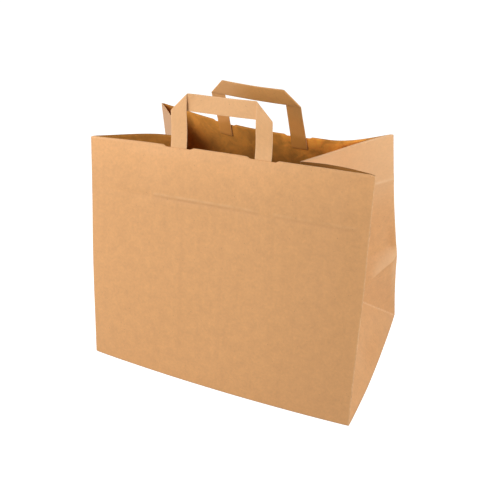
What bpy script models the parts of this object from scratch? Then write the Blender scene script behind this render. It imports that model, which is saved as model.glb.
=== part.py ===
"""Kraft paper carrier bag with a block bottom and two flat folded-strip handles.

The bag stands open as it does after first use: the front and back lean together,
both side gussets fold inwards, and the back panel's top edge is bowed to the inside.
Metres, +Z up, +X to the right of the front panel, the front at -Y.
The origin is the middle of the bottom's underside.
"""

import math

import bmesh
import bpy
from mathutils import Matrix, Vector

# Overall sizes, measured on the paper
WIDTH = 0.320  # front and back panels, from fold to fold
GUSSET = 0.215  # depth of the block bottom, and the whole width of a side gusset
HEIGHT = 0.270  # panels, from the bottom fold to the cut top edge

# Paper
SHEET = 0.0002  # one layer of kraft paper with its waves
GLUE_GAP = 0.0003  # between a handle's leg and the panel that it is glued to

# How the open bag stands
FRONT_LEAN = math.radians(9.0)  # front panel, leaning back
BACK_LEAN = math.radians(10.2)  # back panel's side folds, leaning forward
FRONT_TWIST = math.radians(2.2)  # the front's right side leans more, its left side less
FRONT_PINCH = 0.0084  # the front's top corners, drawn inwards
BACK_PINCH_LEFT = 0.0153  # the back's top corners, drawn inwards by its bow
BACK_PINCH_RIGHT = 0.0180
FRONT_BOW = 0.004  # front top edge, bowed to the inside
BACK_BOW = 0.0415  # back top edge, bowed to the inside
BACK_BOW_LEFT_RISE = 0.42  # share of the back panel over which the bow grows, on the left
BACK_BOW_RIGHT_RISE = 0.20  # and on the right
BACK_BOW_FULLNESS = 0.8  # under 1, the bow's flanks are fuller
GUSSET_BOW = 0.011  # the top edges of a gusset's two halves, bowed towards each other

# Lengthwise glue seam, on the outside of the back panel
SEAM_INSET = 0.014  # from the left fold to the lap's first edge
SEAM_LAP = 0.012

# Block bottom, two long flaps glued over the folded ends
FLAP_OVERLAP = 0.030  # back flap over front flap
FLAP_MARGIN = 0.0008  # flap outlines, in from the bottom's folds

# Handles, each a flat strip of folded plies with a 45 degree fold at either corner
STRIP_WIDTH = 0.0175
STRIP_THICKNESS = 0.0008
HANDLE_SPAN = 0.109  # over the outer edges of the legs
HANDLE_RISE = 0.056  # from the panel's top edge to the handle's top
LEG_GLUED = 0.022  # length of leg glued inside the panel
FOLD_RADIUS = 0.0006  # middle of the strip, round the corner folds
FRONT_HANDLE_X = -0.004  # middle of the handle
BACK_HANDLE_X = 0.0035

# Shallow cut-backs in the top edge round each leg
NOTCH_WIDTH = 0.032
NOTCH_DEPTH = 0.002

# Facets
PANEL_COLUMNS = 26
PANEL_ROWS = 8
GUSSET_COLUMNS = 8
BOTTOM_ROWS = 2
STRIP_COLUMNS = 3
LEG_STEPS = 7
FOLD_STEPS = 5
SPAN_STEPS = 10
MERGE = 0.00002

KRAFT = (0.56, 0.36, 0.20, 1.0)
KRAFT_STRIP = (0.61, 0.40, 0.23, 1.0)

BASE_Z = 2.0 * SHEET  # the two flaps lie under the bottom


def clear_scene():
    for obj in list(bpy.data.objects):
        bpy.data.objects.remove(obj, do_unlink=True)


def new_collection(name):
    collection = bpy.data.collections.new(name)
    bpy.context.scene.collection.children.link(collection)
    return collection


def paper_material(name, color):
    material = bpy.data.materials.new(name)
    material.use_nodes = True
    shader = material.node_tree.nodes["Principled BSDF"]
    shader.inputs["Base Color"].default_value = color
    shader.inputs["Roughness"].default_value = 0.8
    shader.inputs["Metallic"].default_value = 0.0
    return material


def mesh_object(name, bm, collection, material=None):
    mesh = bpy.data.meshes.new(name)
    bm.to_mesh(mesh)
    bm.free()
    obj = bpy.data.objects.new(name, mesh)
    if material:
        mesh.materials.append(material)
    collection.objects.link(obj)
    return obj


def mark_helper(obj):
    obj.hide_render = True
    obj.display_type = "WIRE"
    return obj


def smoothstep(t):
    t = min(max(t, 0.0), 1.0)
    return t * t * (3.0 - 2.0 * t)


# Fold geometry

def top_corner(base, lean, inward, pinch):
    """The top end of a corner fold that keeps the panel's height while it leans."""
    run = math.sqrt(HEIGHT ** 2 - pinch ** 2)
    across = -math.copysign(pinch, base.x)
    return base + Vector((across, inward * run * math.sin(lean), run * math.cos(lean)))


def gusset_apex(side):
    """Where the two 45 degree folds of a gusset meet, half a gusset above the bottom.

    The lower triangle tips inwards until it keeps its width between the leaning panels.
    """
    lean = (FRONT_LEAN + BACK_LEAN) / 2.0
    upright = (1.0 - math.sin(lean)) / math.cos(lean)
    inwards = math.sqrt(1.0 - upright ** 2)
    half = GUSSET / 2.0
    return Vector((side * (WIDTH / 2.0 - half * inwards), 0.0, BASE_Z + half * upright))


def bow_allowance(bow, length):
    """How much shorter the chord of a shallow bow is than the paper along it."""
    return 8.0 / 3.0 * bow ** 2 / length


def crease_top(apex, front_top, back_top, side):
    """The top end of a gusset's centre crease, found from the paper's three fixed lengths."""
    crease = HEIGHT - GUSSET / 2.0
    half = GUSSET / 2.0 - bow_allowance(GUSSET_BOW, GUSSET / 2.0)
    span = back_top - front_top
    along = span.normalized()
    middle = (front_top + back_top) / 2.0
    to_apex = apex - middle
    apex_along = to_apex.dot(along)
    across = to_apex - along * apex_along
    apex_across = across.length
    across.normalize()
    reach = math.sqrt(max(half ** 2 - (span.length / 2.0) ** 2, 0.0))
    flat = math.sqrt(max(crease ** 2 - apex_along ** 2, 0.0))
    down = (reach ** 2 + apex_across ** 2 - flat ** 2) / (2.0 * apex_across)
    inward = math.sqrt(max(reach ** 2 - down ** 2, 0.0))
    normal = along.cross(across)
    if normal.x * side > 0.0:
        normal = -normal
    return middle + across * down + normal * inward


HALF_WIDTH = WIDTH / 2.0
HALF_DEPTH = GUSSET / 2.0
FRONT_LEFT = Vector((-HALF_WIDTH, -HALF_DEPTH, BASE_Z))
FRONT_RIGHT = Vector((HALF_WIDTH, -HALF_DEPTH, BASE_Z))
BACK_LEFT = Vector((-HALF_WIDTH, HALF_DEPTH, BASE_Z))
BACK_RIGHT = Vector((HALF_WIDTH, HALF_DEPTH, BASE_Z))
FRONT_LEFT_TOP = top_corner(FRONT_LEFT, FRONT_LEAN - FRONT_TWIST, 1.0, FRONT_PINCH)
FRONT_RIGHT_TOP = top_corner(FRONT_RIGHT, FRONT_LEAN + FRONT_TWIST, 1.0, FRONT_PINCH)
BACK_LEFT_TOP = top_corner(BACK_LEFT, BACK_LEAN, -1.0, BACK_PINCH_LEFT)
BACK_RIGHT_TOP = top_corner(BACK_RIGHT, BACK_LEAN, -1.0, BACK_PINCH_RIGHT)


def straight(start, end):
    return lambda t: start.lerp(end, t)


def bowed(start, end, bow):
    """A line from start to end, bowed towards +Y at its middle."""
    return lambda t: start.lerp(end, t) + Vector((0.0, 4.0 * bow * t * (1.0 - t), 0.0))


def back_top_edge(u):
    left = smoothstep(u / BACK_BOW_LEFT_RISE)
    right = smoothstep((1.0 - u) / BACK_BOW_RIGHT_RISE)
    bow = BACK_BOW * (left * right) ** BACK_BOW_FULLNESS
    return BACK_LEFT_TOP.lerp(BACK_RIGHT_TOP, u) - Vector((0.0, bow, 0.0))


FRONT_PANEL = (straight(FRONT_LEFT, FRONT_RIGHT), bowed(FRONT_LEFT_TOP, FRONT_RIGHT_TOP, FRONT_BOW))
BACK_PANEL = (straight(BACK_LEFT, BACK_RIGHT), back_top_edge)


def even(count):
    return [i / count for i in range(count + 1)]


def panel_stations():
    """Even stations across a panel, with the nearest ones moved onto the seam's edges."""
    stations = even(PANEL_COLUMNS)
    for mark in (SEAM_INSET, SEAM_INSET + SEAM_LAP):
        share = mark / WIDTH
        nearest = min(range(1, PANEL_COLUMNS), key=lambda i: abs(stations[i] - share))
        stations[nearest] = share
    return stations


def add_ruled(bm, lower, upper, across, along):
    """A ruled sheet between two curves, cut at the stations across and along it."""
    rows = [[bm.verts.new(lower(u).lerp(upper(u), v)) for u in across] for v in along]
    for low, high in zip(rows, rows[1:]):
        for i in range(len(across) - 1):
            bm.faces.new((low[i], low[i + 1], high[i + 1], high[i]))


def weld_sheet(bm):
    """Joins the sheets at their shared folds and makes every facet flat."""
    bmesh.ops.remove_doubles(bm, verts=bm.verts[:], dist=MERGE)
    bmesh.ops.triangulate(bm, faces=bm.faces[:], quad_method="FIXED")


def add_gusset(bm, side, front, front_top, back, back_top):
    apex = gusset_apex(side)
    crease = crease_top(apex, front_top, back_top, side)
    across = even(GUSSET_COLUMNS)
    for base, top, toward in ((front, front_top, 1.0), (back, back_top, -1.0)):
        top_edge = bowed(top, crease, toward * GUSSET_BOW)
        add_ruled(bm, straight(base, apex), top_edge, across, even(PANEL_ROWS))
    add_ruled(bm, straight(front, apex), straight(back, apex), across, even(BOTTOM_ROWS))


def solidify(obj, thickness, offset):
    modifier = obj.modifiers.new("paper", "SOLIDIFY")
    modifier.thickness = thickness
    modifier.offset = offset
    modifier.use_even_offset = True
    modifier.use_rim = True


def combine(obj, other, operation):
    modifier = obj.modifiers.new(other.name, "BOOLEAN")
    modifier.operation = operation
    modifier.solver = "EXACT"
    modifier.object = other


def build_sheet(collection, material):
    """The folded tube and bottom as one open sheet, given its thickness inwards."""
    bm = bmesh.new()
    stations = panel_stations()
    add_ruled(bm, *FRONT_PANEL, stations, even(PANEL_ROWS))
    add_ruled(bm, *BACK_PANEL, stations, even(PANEL_ROWS))
    add_ruled(bm, FRONT_PANEL[0], BACK_PANEL[0], stations, even(BOTTOM_ROWS))
    add_gusset(bm, 1.0, FRONT_RIGHT, FRONT_RIGHT_TOP, BACK_RIGHT, BACK_RIGHT_TOP)
    add_gusset(bm, -1.0, FRONT_LEFT, FRONT_LEFT_TOP, BACK_LEFT, BACK_LEFT_TOP)
    weld_sheet(bm)
    bmesh.ops.recalc_face_normals(bm, faces=bm.faces[:])
    lowest = min(bm.faces, key=lambda face: face.calc_center_median().z)
    if lowest.normal.z > 0.0:
        bmesh.ops.reverse_faces(bm, faces=bm.faces[:])
    bag = mesh_object("bag_body", bm, collection, material)
    solidify(bag, SHEET, -1.0)
    return bag


def build_seam(collection):
    """The second layer of the lengthwise seam, bedded half a sheet into the back panel."""
    first = SEAM_INSET / WIDTH
    last = (SEAM_INSET + SEAM_LAP) / WIDTH
    bm = bmesh.new()
    add_ruled(bm, *BACK_PANEL, [first, last], even(PANEL_ROWS))
    weld_sheet(bm)
    if sum(face.normal.y for face in bm.faces) < 0.0:
        bmesh.ops.reverse_faces(bm, faces=bm.faces[:])
    bm.normal_update()
    for vert in bm.verts:
        vert.co += vert.normal * SHEET
    seam = mark_helper(mesh_object("seam_lap", bm, collection))
    solidify(seam, 1.5 * SHEET, -1.0)
    return seam


def build_flap(name, side, low, collection):
    """A long bottom flap: a trapezium whose ends are folded under at 45 degrees."""
    edge = HALF_DEPTH - FLAP_MARGIN
    reach = -FLAP_OVERLAP / 2.0
    half = HALF_WIDTH - 2.0 * FLAP_MARGIN
    tip = half - (edge - reach)
    outline = ((-half, edge), (-tip, reach), (tip, reach), (half, edge))
    bm = bmesh.new()
    verts = [bm.verts.new((x, side * y, low)) for x, y in outline]
    face = bm.faces.new(verts)
    rise = Vector((0.0, 0.0, BASE_Z + SHEET / 2.0 - low))
    walls = bmesh.ops.extrude_face_region(bm, geom=[face])
    lifted = [item for item in walls["geom"] if isinstance(item, bmesh.types.BMVert)]
    bmesh.ops.translate(bm, verts=lifted, vec=rise)
    bmesh.ops.recalc_face_normals(bm, faces=bm.faces[:])
    return mark_helper(mesh_object(name, bm, collection))


# Handles

class PanelMap:
    """Places a handle's flat drawing on a panel: x across, z up from the top edge, depth inwards."""

    def __init__(self, panel, middle, inward):
        self.base, self.top = panel
        self.inward = inward
        left, right = self.top(0.0), self.top(1.0)
        self.u_middle = (middle - left.x) / (right.x - left.x)
        self.u_per_metre = 1.0 / (right.x - left.x)
        reach = (HANDLE_SPAN - STRIP_WIDTH) / 2.0
        legs = [self.frame(x) for x in (-reach, reach)]
        self.origin = (legs[0][0] + legs[1][0]) / 2.0
        self.across = (legs[1][0] - legs[0][0]).normalized()
        rise = legs[0][1] + legs[1][1]
        self.rise = (rise - self.across * rise.dot(self.across)).normalized()
        self.depth = self.facing(self.across, self.rise)

    def facing(self, across, rise):
        normal = across.cross(rise).normalized()
        return normal if normal.y * self.inward > 0.0 else -normal

    def frame(self, x):
        """Top edge point, direction up the panel and direction to the inside, at x."""
        u = self.u_middle + x * self.u_per_metre
        point = self.top(u)
        rise = (point - self.base(u)).normalized()
        step = 0.01
        return point, rise, self.facing(self.top(u + step) - self.top(u - step), rise)

    def place(self, x, z, depth):
        """On the panel below its top edge, and going over to one flat plane above it."""
        point, rise, facing = self.frame(x)
        on_panel = point + rise * z + facing * depth
        on_plane = self.origin + self.across * x + self.rise * z + self.depth * depth
        return on_panel.lerp(on_plane, smoothstep(z / (HANDLE_RISE - STRIP_WIDTH)))


def corner_fold(side):
    """Rungs round one 45 degree corner, from the leg's layer to the strip's layer."""
    half = HANDLE_SPAN / 2.0
    outer = Vector((side * half, 0.0, HANDLE_RISE - STRIP_WIDTH))
    inner = Vector((side * (half - STRIP_WIDTH), 0.0, HANDLE_RISE))
    outward = Vector((side, 0.0, 1.0)).normalized()
    rungs = []
    for i in range(FOLD_STEPS + 1):
        turn = math.pi * i / FOLD_STEPS
        push = outward * FOLD_RADIUS * math.sin(turn)
        push.y = FOLD_RADIUS * (1.0 - math.cos(turn))
        rungs.append((outer + push, inner + push))
    return rungs


def leg(side):
    """Rungs up one leg, from its glued end to just before the corner fold."""
    half = HANDLE_SPAN / 2.0
    rungs = []
    for i in range(LEG_STEPS):
        t = i / LEG_STEPS
        outer = -LEG_GLUED + t * (HANDLE_RISE - STRIP_WIDTH + LEG_GLUED)
        inner = -LEG_GLUED + t * (HANDLE_RISE + LEG_GLUED)
        rungs.append((Vector((side * half, 0.0, outer)),
                      Vector((side * (half - STRIP_WIDTH), 0.0, inner))))
    return rungs


def handle_rungs():
    """The strip's rungs from one glued end to the other, in the handle's flat drawing."""
    left = leg(-1.0) + corner_fold(-1.0)
    right = leg(1.0) + corner_fold(1.0)
    start, end = left[-1], right[-1]
    span = []
    for i in range(1, SPAN_STEPS):
        t = i / SPAN_STEPS
        span.append((start[0].lerp(end[0], t), start[1].lerp(end[1], t)))
    return left + span + right[::-1]


def build_handle(name, panel, middle, inward, collection, material):
    panel_map = PanelMap(panel, middle, inward)
    wall = SHEET + GLUE_GAP + STRIP_THICKNESS / 2.0
    bm = bmesh.new()
    rows = []
    for outer, inner in handle_rungs():
        points = [outer.lerp(inner, i / STRIP_COLUMNS) for i in range(STRIP_COLUMNS + 1)]
        rows.append([bm.verts.new(panel_map.place(p.x, p.z, wall + p.y)) for p in points])
    for low, high in zip(rows, rows[1:]):
        for i in range(STRIP_COLUMNS):
            bm.faces.new((low[i], low[i + 1], high[i + 1], high[i]))
    bmesh.ops.triangulate(bm, faces=bm.faces[:], quad_method="FIXED")
    handle = mesh_object(name, bm, collection, material)
    solidify(handle, STRIP_THICKNESS, 0.0)
    return handle, panel_map


def build_notch(name, panel_map, x, collection):
    """A box that cuts the panel's top edge back round one leg."""
    point, rise, facing = panel_map.frame(x)
    across = rise.cross(facing).normalized()
    size = Vector((NOTCH_WIDTH, NOTCH_WIDTH / 2.0, 2.0 * NOTCH_DEPTH))
    turn = Matrix((across, facing, rise)).transposed().to_4x4()
    matrix = Matrix.Translation(point) @ turn @ Matrix.Diagonal(size).to_4x4()
    bm = bmesh.new()
    bmesh.ops.create_cube(bm, size=1.0, matrix=matrix)
    bmesh.ops.recalc_face_normals(bm, faces=bm.faces[:])
    return mark_helper(mesh_object(name, bm, collection))


def main():
    clear_scene()
    parts = new_collection("paper_carrier_bag")
    cutters = new_collection("cutters")
    bag = build_sheet(parts, paper_material("kraft", KRAFT))
    combine(bag, build_seam(cutters), "UNION")
    combine(bag, build_flap("front_flap", -1.0, SHEET, cutters), "UNION")
    combine(bag, build_flap("back_flap", 1.0, 0.0, cutters), "UNION")

    strip = paper_material("kraft_strip", KRAFT_STRIP)
    reach = (HANDLE_SPAN - STRIP_WIDTH) / 2.0
    for side, panel, middle, inward in (("front", FRONT_PANEL, FRONT_HANDLE_X, 1.0),
                                        ("back", BACK_PANEL, BACK_HANDLE_X, -1.0)):
        handle, panel_map = build_handle(side + "_handle", panel, middle, inward, parts, strip)
        for end, x in (("left", -reach), ("right", reach)):
            notch = build_notch(side + "_" + end + "_notch", panel_map, x, cutters)
            combine(bag, notch, "DIFFERENCE")


main()
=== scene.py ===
"""Looks of a kraft paper carrier bag: its folded sheet, its strip handles and the stage.

Every length is in metres. The front faces -Y, +X is to the right of the front, +Z is up.
A point of the bag is found from its place on the flat paper: along the sheet, round the
bag from the front left fold, and s up from the bottom fold. Those two numbers are also
the UV map "paper", so that fibres and creases keep their real size everywhere.
"""

import math

import bmesh
import bpy
import numpy as np
from bpy.props import FloatProperty, FloatVectorProperty, IntProperty, PointerProperty
from mathutils import Matrix, Vector, noise


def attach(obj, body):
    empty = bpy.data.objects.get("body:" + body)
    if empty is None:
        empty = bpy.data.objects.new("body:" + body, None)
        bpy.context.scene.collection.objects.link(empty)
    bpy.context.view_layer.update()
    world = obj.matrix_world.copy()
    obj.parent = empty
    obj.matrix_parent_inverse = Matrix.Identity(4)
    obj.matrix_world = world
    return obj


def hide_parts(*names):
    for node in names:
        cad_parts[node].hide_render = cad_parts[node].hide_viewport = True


bl_info = {
    "name": "Paper carrier bag",
    "version": (1, 0, 0),
    "blender": (4, 5, 0),
    "location": "View3D > Sidebar > Paper bag",
    "description": "Builds an open kraft paper carrier bag with folded-strip handles",
    "category": "Add Mesh",
}

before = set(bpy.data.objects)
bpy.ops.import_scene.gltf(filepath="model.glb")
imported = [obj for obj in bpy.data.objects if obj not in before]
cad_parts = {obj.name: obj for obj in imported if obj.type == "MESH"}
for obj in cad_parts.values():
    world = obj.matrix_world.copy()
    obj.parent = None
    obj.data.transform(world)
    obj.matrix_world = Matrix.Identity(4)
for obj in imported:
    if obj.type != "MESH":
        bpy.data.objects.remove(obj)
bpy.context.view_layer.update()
BODY = "root"
PAPER_UV = "paper"
FOLD_ATTRIBUTE = "fold_distance"
SOFT_GROUP = "rounded_folds"

WELD = 0.00002  # points nearer than this are one point
CLOSE_LINES = (0.0007, 0.0016, 0.0027)  # mesh lines beside a fold, from the fold
BASE_LINES = (0.0008, 0.0018, 0.0030)  # mesh lines above the bottom fold
NOTCH_EDGE = 0.0044  # length over which a cut-back in the top edge starts
NOTCH_STEP = 0.0018  # from the middle of that length to the mesh lines beside it
SLANT = 0.7  # distance from a 45 degree fold, per distance along the paper
CREASE_REACH = 0.0025  # width of the paper that is rounded at a gusset's inner folds
OFF_FOLD = 0.02  # fold distance of the loose layers, which have no worn fold
FLAP_INSET = 0.0016  # bottom flaps, in from the bottom's folds
END_INSET = 0.004  # folded ends inside, in from the same folds
END_SHORT = 0.006  # how much less than half a gusset they reach
LAYER_GAP = 0.00002  # bottom flaps, above the surface that the bag stands on
END_LIFT = 2.2  # folded ends above the bottom, in thicknesses of the sheet
LAP_LIFT = 1.15  # seam's lap off the back panel, in the same

SWELL = (0.0022, 0.120)  # height and length of a panel's slow waves
RIPPLE = (0.0006, 0.038)  # and of its small ones
GUSSET_SWELL = (0.0014, 0.075)
PANEL_PRESS = (0.00035, 0.0028)  # depth and half width of the line across a panel
GUSSET_PRESS = (0.0008, 0.0030)  # the same line in a gusset, raised
EDGE_CURL = (0.0011, 0.016)  # front top edge, turned in: how far, and how deep it starts
BACK_RIDGE = (0.0020, 0.060)  # old fold across the back panel: height and half width
RIDGE_PEAK = (0.0010, 0.024)  # where the gusset's ridge meets the back fold, the same
BULGE_LENGTH = 0.055  # half length of the back folds' bulge
FOOT_PUFF = 0.0030  # gusset's lower triangle, standing out at its front
FOOT_DIP = 0.0060  # and drawn in at its middle

STRIP_COLUMNS = 8  # mesh faces across a handle's strip
LEG_STEPS = 26  # and along each of its parts
FOLD_STEPS = 10
SPAN_STEPS = 36
LEG_END = 0.994  # share of a leg where its last rung lies, before the corner fold
SPAN_ENDS = (0.003, 0.997)  # shares of the span where its first and last rungs lie

FOLD_EDGE = 0.001  # softness of a colour's end at a fold
LINE_DROP = 0.0015  # line across the bag, below one gusset's depth up the paper
PRESS_DROP = 0.0020  # the same line where it is shaped and not painted
RIDGE_DROP = 0.0035  # start of a gusset's ridge at the corner fold, below half a gusset
FRONT_LINE = (0.078, 0.307)  # where the line across shows on the front panel
FRONT_LINE_GAP = (0.202, 0.218)
FRONT_LINE_FADE = (0.12, 0.27)
UPRIGHT_MARKS = ((0.114, 0.0020, 0.07), (0.163, 0.0024, 0.06))  # place, width and strength
STREAK_SCALE = (170.0, 7.0, 1.0)
LEG_SHADE = 0.0100  # from a leg's middle to the painted shadow beside it


def size_prop(name, description, default, **extra):
    return FloatProperty(name=name, description=description, default=default,
                         unit="LENGTH", precision=4, **extra)


def angle_prop(name, description, degrees):
    return FloatProperty(name=name, description=description, default=math.radians(degrees),
                         subtype="ANGLE")


def share_prop(name, description, default):
    return FloatProperty(name=name, description=description, default=default, min=0.0)


def colour_prop(name, description, default):
    return FloatVectorProperty(name=name, description=description, default=default,
                               subtype="COLOR", size=3, min=0.0, max=1.0)


def place_prop(name, description, default):
    return FloatVectorProperty(name=name, description=description, default=default,
                               subtype="XYZ", unit="LENGTH", precision=4)


class BagSizes(bpy.types.PropertyGroup):
    """Sizes of the folded sheet, measured on the paper, and how the open bag stands."""
    width: size_prop("Width", "Front and back panels, from fold to fold", 0.320)
    gusset: size_prop("Gusset", "Depth of the bottom and whole width of a gusset", 0.215)
    height: size_prop("Height", "Panels, from bottom fold to cut edge", 0.270)
    sheet: size_prop("Sheet", "Thickness of one layer of paper", 0.0002)
    front_lean: angle_prop("Front lean", "Front panel, leaning back", 9.0)
    front_twist: angle_prop("Front twist", "The right side leans more, the left less", 2.2)
    back_lean: angle_prop("Back lean", "Back panel's folds, leaning forward", 10.2)
    front_pinch: size_prop("Front pinch", "Front top corners, drawn inwards", 0.0084)
    back_pinch_left: size_prop("Back pinch, left", "Back left top corner, drawn in", 0.0153)
    back_pinch_right: size_prop("Back pinch, right", "Back right top corner, drawn in", 0.0180)
    front_bow: size_prop("Front bow", "Front top edge, bowed to the inside", 0.0030)
    back_bow: size_prop("Back bow", "Back top edge, bowed to the inside", 0.0440)
    back_bow_left: share_prop("Bow rise, left", "Share of the width for the bow to grow", 0.60)
    back_bow_right: share_prop("Bow rise, right", "Share of the width on the right", 0.20)
    back_bow_fullness: share_prop("Bow fullness", "Under 1, the flanks are fuller", 0.55)
    front_half_bow: size_prop("Front half bow", "Gusset's front top edge, bowed in", 0.0060)
    back_half_bow: size_prop("Back half bow", "Gusset's back top edge, bowed in", 0.0120)
    left_front_bow: size_prop("Left front bow", "The left gusset's front top edge", 0.0260)
    left_back_bow: size_prop("Left back bow", "The left gusset's back top edge", -0.0020)
    back_half_lift: size_prop("Back half lift", "Gusset's back top edge, lifted", 0.0040)
    crease_sag: size_prop("Crease sag", "Top of a gusset's centre crease, sunk down", 0.0030)
    left_crease_sag: size_prop("Left crease sag", "The same on the left side", 0.0035)
    crease_drift: size_prop("Crease drift", "The same point, moved to the front", 0.0015)
    crease_shift: size_prop("Crease shift", "The right crease's top, moved left", 0.0030)
    left_crease_shift: size_prop("Left crease shift", "The same on the left side", 0.0040)
    base_push: size_prop("Base push", "Front bottom fold, pushed out by the paper's spring", 0.0030)
    base_bow: size_prop("Base bow", "Front bottom fold, bowed outwards", 0.0055)
    base_side_bow: size_prop("Base side bow", "Side bottom folds, bowed outwards", 0.0030)
    fold_bulge: size_prop("Fold bulge", "Back corner folds, bulging at mid height", 0.0026)
    ridge_height: size_prop("Ridge height", "Old fold across a gusset, standing out", 0.0046)
    hollow_depth: size_prop("Hollow depth", "Hollow above the gusset's ridge", 0.0028)
    ridge_slope: share_prop("Ridge slope", "Fall of the ridge per metre in from the fold", 0.39)
    notch_width: size_prop("Notch width", "Cut-back in the top edge round each leg", 0.0320)
    notch_depth: size_prop("Notch depth", "Depth of the cut-backs", 0.0018)
    seam_inset: size_prop("Seam inset", "Back left fold to the glued lap", 0.014)
    seam_lap: size_prop("Seam lap", "Width of the lengthwise glued lap", 0.012)
    flap_overlap: size_prop("Flap overlap", "Back bottom flap over the front one", 0.030)
    fold_round: size_prop("Fold rounding", "Paper on each side drawn into a fold", 0.0032)
    spacing: size_prop("Mesh spacing", "Distance between the mesh's lines", 0.0030, min=0.002)


class HandleSizes(bpy.types.PropertyGroup):
    """Sizes of a handle, a strip of folded plies with a 45 degree fold at each corner."""
    strip: size_prop("Strip width", "Width of the folded strip", 0.0175)
    thickness: size_prop("Thickness", "All the plies together", 0.0008)
    span: size_prop("Span", "Over the outer edges of the legs", 0.109)
    rise: size_prop("Rise", "Panel's top edge to the handle's top", 0.056)
    glued_left: size_prop("Left glued length", "Left leg inside the panel", 0.0165)
    glued_right: size_prop("Right glued length", "Right leg inside the panel", 0.0165)
    glue_gap: size_prop("Glue gap", "Between a leg and its panel", 0.0003)
    fold_radius: size_prop("Fold radius", "Middle of the strip, round a corner fold", 0.00045)
    corner_shift: size_prop("Corner shift", "Corner folds, in from their sharp place", 0.0016)
    sprung: size_prop("Sprung", "Strip standing off the front handle's left leg", 0.0012)
    front_x: size_prop("Front middle", "Middle of the front handle", -0.0057)
    back_x: size_prop("Back middle", "Middle of the back handle", 0.0035)
    front_y: size_prop("Front place", "Front handle's plane at the top edge", -0.0647)
    back_y: size_prop("Back place", "Back handle's plane at the top edge", 0.0203)
    edge_z: size_prop("Edge height", "Height of the top edges between the legs", 0.2654)
    front_tilt: angle_prop("Front tilt", "Front handle, leaning to the inside", 8.8)
    back_tilt: angle_prop("Back tilt", "Back handle, leaning to the inside", 17.1)
    front_yaw: angle_prop("Front yaw", "Front handle, turned seen from above", 1.8)
    back_yaw: angle_prop("Back yaw", "Back handle, turned seen from above", -6.7)


class PaperColours(bpy.types.PropertyGroup):
    """Colours of the paper, linear; some also stand for painted light and shade."""
    outside: colour_prop("Outside", "Glazed outside of the sheet", (0.690, 0.352, 0.136))
    inside: colour_prop("Inside", "Rough inside of the sheet", (0.640, 0.262, 0.037))
    # Also the colour of painted highlights and painted light on lines, ridges and the gussets' tops
    edge: colour_prop("Cut edge", "Cut edges and worn folds", (0.860, 0.560, 0.310))
    strip: colour_prop("Strip", "Handle strips", (0.765, 0.415, 0.178))
    # Painted shade: the back strip's colour is darker to stand for the smaller share of light that
    # reaches it
    back_strip_shaded: colour_prop("Back strip", "Back handle's strip, a deeper cut of paper",
                            (0.710, 0.338, 0.098))
    low_strip: colour_prop("Low strip", "The same strip, low on its legs, where light gathers",
                           (0.900, 0.380, 0.090))
    # Also the colour of painted shade: lines along the bottom and left folds, and darker areas on
    # the gussets and front
    press: colour_prop("Pressed line", "Paper darkened by a pressed line", (0.420, 0.200, 0.075))
    # Painted shade: the colour of deep gaps and of shadow lines inside the bag
    hollow: colour_prop("Hollow", "Deep in the gap behind the front panel", (0.275, 0.112, 0.020))
    # Also the colour of the painted shadow line where a handle's strip turns over on its legs
    speck_and_shadow: colour_prop("Specks", "Bark specks in the pulp", (0.300, 0.140, 0.055))


class StageSettings(bpy.types.PropertyGroup):
    """The camera, the lamps and the floor."""
    azimuth: angle_prop("Azimuth", "Camera, round from the front to the right", 23.81)
    elevation: angle_prop("Elevation", "Camera, above the horizon", 30.18)
    roll: angle_prop("Roll", "Camera, about its own axis", -0.48)
    distance: size_prop("Distance", "Camera to the point that it looks at", 0.7704)
    target: place_prop("Target", "Point that the camera looks at", (-0.0012, 0.0, 0.1212))
    lens: FloatProperty(name="Lens", description="Focal length in mm, on a 36 mm sensor",
                        default=46.78)
    key_power: FloatProperty(name="Key", description="Power of the main lamp", default=7.7)
    fill_power: FloatProperty(name="Fill", description="Power of the fill lamp", default=3.7)
    ambient: FloatProperty(name="Ambient", description="Strength of the world", default=0.295)
    floor_size: size_prop("Floor size", "Side of the square floor", 12.0)
    floor: colour_prop("Floor", "Colour of the floor", (0.52, 0.52, 0.52))
    floor_lift: share_prop("Floor lift", "Light that only the camera sees on the floor", 0.92)
    key_size: size_prop("Key size", "Width of the main lamp", 0.85)
    key_place: place_prop("Key place", "Where the main lamp is", (-0.54, -0.70, 0.62))
    fill_size: size_prop("Fill size", "Width of the fill lamp", 0.60)
    fill_place: place_prop("Fill place", "Where the fill lamp is", (0.80, -0.05, 0.38))
    fill_tint: FloatVectorProperty(name="Fill tint", description="Colour of the fill lamp",
                                   default=(0.98, 1.0, 1.02), subtype="COLOR")
    lamp_target: place_prop("Lamp target", "Point that both lamps face", (0.0, 0.0, 0.13))
    seed: IntProperty(name="Seed", description="Picks the paper's waves", default=5)


# Curves and small helpers for arrays

def smooth(t):
    t = np.clip(t, 0.0, 1.0)
    return t * t * (3.0 - 2.0 * t)


def bell(t):
    return np.exp(-np.square(t))


def arch(t):
    """A full arch from 0 to 1 and back to 0 as t goes from 0 to 1."""
    return np.clip(np.sin(math.pi * t), 0.0, 1.0) ** 0.8


def mix(a, b, t):
    """From a to b by t, over arrays of points."""
    return a + (b - a) * np.asarray(t)[..., None]


def unit(vector):
    return vector / np.linalg.norm(vector)


def outward(vector, side):
    """A vector's direction, turned round if that makes it point out of the given side."""
    direction = unit(vector)
    return -direction if direction[0] * side < 0.0 else direction


def between(value, low, high, soft):
    """One from low to high, falling to zero over a soft edge outside them."""
    return smooth((value - low + soft) / soft) * smooth((high + soft - value) / soft)


def waves(first, second, size, seed):
    """Smooth noise from -1 to 1 over the paper, with features of about the given size."""
    shape = np.shape(first)
    points = np.stack([np.ravel(first) / size, np.ravel(second) / size], axis=1)
    values = [noise.noise(Vector((a, b, seed * 7.31))) for a, b in points]
    return np.reshape(values, shape)


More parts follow.
